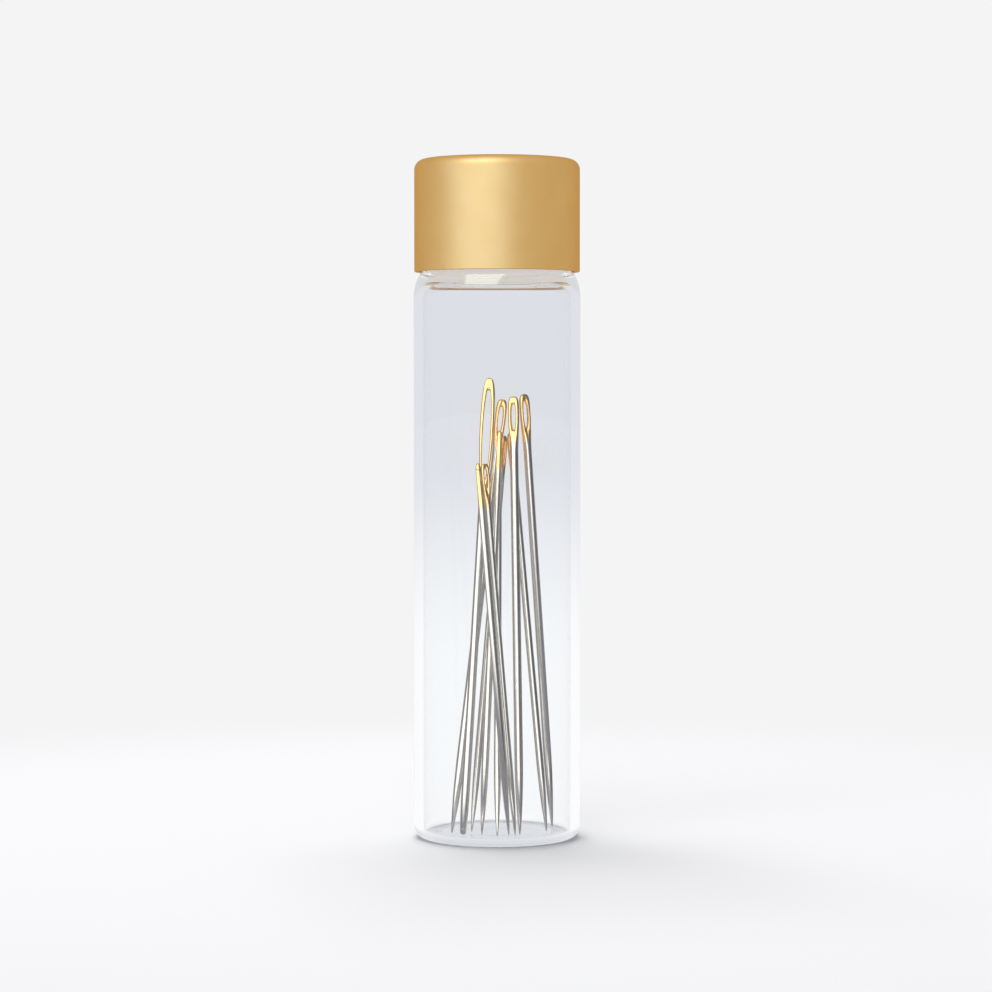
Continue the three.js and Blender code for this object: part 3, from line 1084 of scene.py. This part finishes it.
def set_world():
    """Even light for matt surfaces, the studio for reflections, and the pale backdrop behind it all."""
    world = bpy.data.worlds.new("studio")
    bpy.context.scene.world = world
    world.use_nodes = True
    tree = world.node_tree
    tree.nodes.clear()
    path = add_node(tree, "ShaderNodeLightPath")
    direction = add_node(tree, "ShaderNodeTexCoord").outputs["Generated"]
    rise = add_node(tree, "ShaderNodeSeparateXYZ", {"Vector": direction}).outputs["Z"]
    through = linear(GLASS_BACKDROP)
    backdrop = add_node(
        tree, "ShaderNodeMix",
        {"Factor": path.outputs["Is Transmission Ray"], "A": linear(EVEN_LIGHT), "B": through},
        data_type="RGBA",
    )
    away = add_node(
        tree, "ShaderNodeMapRange",
        {"Value": rise, "From Min": NEEDLE_FOOT_RISE, "From Max": NEEDLE_STUDIO_RISE},
        interpolation_type="SMOOTHSTEP",
    )
    mirrored = add_node(
        tree, "ShaderNodeMix",
        {
            "Factor": window_share(tree, path, direction, rise),
            "A": studio_light(tree, path, direction, through, away.outputs["Result"]),
            "B": [channel * WINDOW_STRENGTH for channel in linear(WINDOW_COLOUR)],
        },
        data_type="RGBA",
    )
    reflected = add_node(
        tree, "ShaderNodeMath", {0: path.outputs["Glossy Depth"], 1: HALF_COUNT}, operation="GREATER_THAN",
    )
    studio = add_node(
        tree, "ShaderNodeMix",
        {
            "Factor": reflected.outputs["Value"],
            "A": backdrop.outputs["Result"],
            "B": mirrored.outputs["Result"],
        },
        data_type="RGBA",
    )
    shown = add_node(
        tree, "ShaderNodeMix",
        {
            "Factor": path.outputs["Is Camera Ray"],
            "A": studio.outputs["Result"],
            "B": linear(BACKGROUND),
        },
        data_type="RGBA",
    )
    light = add_node(tree, "ShaderNodeBackground", {"Color": shown.outputs["Result"]})
    output = add_node(tree, "ShaderNodeOutputWorld")
    tree.links.new(light.outputs["Background"], output.inputs["Surface"])


def floor_through_glass(tree, distance):
    """The floor's colour as the glass shows it, by distance from the base's middle, with painted shade under
    the base.
    """
    log_distance = add_node(
        tree, "ShaderNodeMath", {0: distance, 1: 10.0}, operation="LOGARITHM",
    )
    far = add_node(
        tree, "ShaderNodeMapRange",
        {"Value": log_distance.outputs["Value"], "From Min": FLOOR_FADE_START, "From Max": FLOOR_FADE_END},
        interpolation_type="SMOOTHSTEP",
    )
    open_floor = add_node(
        tree, "ShaderNodeMix",
        {"Factor": far.outputs["Result"], "A": linear(FLOOR_NEAR), "B": linear(FLOOR_FAR)},
        data_type="RGBA",
    )
    # Painted shade on the floor under the base, fading out past its edge
    clear_of_base = add_node(
        tree, "ShaderNodeMapRange",
        {"Value": distance, "From Min": UNDER_BASE_EDGE, "From Max": UNDER_BASE_END},
    )
    return add_node(
        tree, "ShaderNodeMix",
        {
            "Factor": clear_of_base.outputs["Result"],
            "A": linear(FLOOR_PAINTED_SHADE_UNDER_BASE),
            "B": open_floor.outputs["Result"],
        },
        data_type="RGBA",
    ).outputs["Result"]


def white_paper():
    """A matt white paper sweep that keeps the shadow close to the vial and runs out into the background."""
    material, tree, output = new_material("matt white paper sweep")
    path = add_node(tree, "ShaderNodeLightPath")
    place = add_node(tree, "ShaderNodeTexCoord").outputs["Object"]
    distance = add_node(tree, "ShaderNodeVectorMath", {0: place}, operation="LENGTH").outputs["Value"]
    away = add_node(
        tree, "ShaderNodeMapRange",
        {"Value": distance, "From Min": SWEEP_START, "From Max": SWEEP_END},
        interpolation_type="SMOOTHSTEP",
    ).outputs["Result"]
    paper = add_node(tree, "ShaderNodeBsdfDiffuse", {"Color": linear(BACKGROUND)})
    flat = add_node(tree, "ShaderNodeEmission", {"Color": linear(BACKGROUND)})
    seen = add_node(
        tree, "ShaderNodeMixShader", {0: away, 1: paper.outputs["BSDF"], 2: flat.outputs["Emission"]},
    )
    through = floor_through_glass(tree, distance)
    reflected = add_node(
        tree, "ShaderNodeMath", {0: path.outputs["Glossy Depth"], 1: HALF_COUNT}, operation="GREATER_THAN",
    )
    mirrored = add_node(
        tree, "ShaderNodeMix",
        {
            "Factor": reflected.outputs["Value"],
            "A": through,
            "B": studio_light(tree, path, place, through, away),
        },
        data_type="RGBA",
    )
    glow = add_node(tree, "ShaderNodeEmission", {"Color": mirrored.outputs["Result"]})
    in_glass_or_metal = add_node(
        tree, "ShaderNodeMath",
        {0: path.outputs["Is Transmission Ray"], 1: path.outputs["Is Glossy Ray"]},
        operation="MAXIMUM",
    )
    shown = add_node(
        tree, "ShaderNodeMixShader",
        {0: in_glass_or_metal.outputs["Value"], 1: seen.outputs["Shader"], 2: glow.outputs["Emission"]},
    )
    tree.links.new(shown.outputs["Shader"], output.inputs["Surface"])
    return material


def set_floor():
    bm = bmesh.new()
    bmesh.ops.create_grid(bm, x_segments=1, y_segments=1, size=FLOOR_HALF)
    mesh = bpy.data.meshes.new("floor")
    bm.to_mesh(mesh)
    bm.free()
    mesh.materials.append(white_paper())
    floor = bpy.data.objects.new("floor", mesh)
    bpy.context.scene.collection.objects.link(floor)


def add_softbox(name, azimuth, elevation, distance, width, height, power):
    """A soft rectangular lamp that faces the vial, and isn't seen through the glass."""
    lamp = bpy.data.lights.new(name, "AREA")
    lamp.shape = "RECTANGLE"
    lamp.size = width
    lamp.size_y = height
    lamp.energy = power
    holder = bpy.data.objects.new(name, lamp)
    bpy.context.scene.collection.objects.link(holder)
    outwards = towards(azimuth, elevation)
    holder.location = Vector(LAMP_AIM) + outwards * distance
    holder.rotation_euler = outwards.to_track_quat("Z", "Y").to_euler()
    holder.visible_transmission = False
    return holder


def set_lamps():
    add_softbox(
        "window_key", azimuth=-24, elevation=46, distance=0.7, width=0.6, height=0.45, power=1.1,
    )
    overhead = add_softbox(
        "overhead_fill", azimuth=195, elevation=68, distance=0.8, width=0.5, height=0.5, power=4.6,
    )
    overhead.visible_glossy = False


def set_camera():
    lens = bpy.data.cameras.new("portrait_camera")
    lens.lens = CAMERA_LENS
    lens.sensor_width = CAMERA_SENSOR
    lens.clip_start = CAMERA_CLIP
    camera = bpy.data.objects.new("portrait_camera", lens)
    bpy.context.scene.collection.objects.link(camera)
    camera.location = CAMERA_PLACE
    sight = Vector(CAMERA_AIM) - Vector(CAMERA_PLACE)
    camera.rotation_euler = sight.to_track_quat("-Z", "Y").to_euler()
    bpy.context.scene.camera = camera


def set_picture():
    """Plain colours, and enough bounces for light that runs along inside the thick glass."""
    bpy.context.scene.view_settings.view_transform = "Standard"
    cycles = bpy.context.scene.cycles
    cycles.glossy_bounces = 24
    cycles.transmission_bounces = 32
    cycles.max_bounces = 48


set_picture()
build_vial_and_cap()
build_needles()
set_world()
set_floor()
set_lamps()
set_camera()
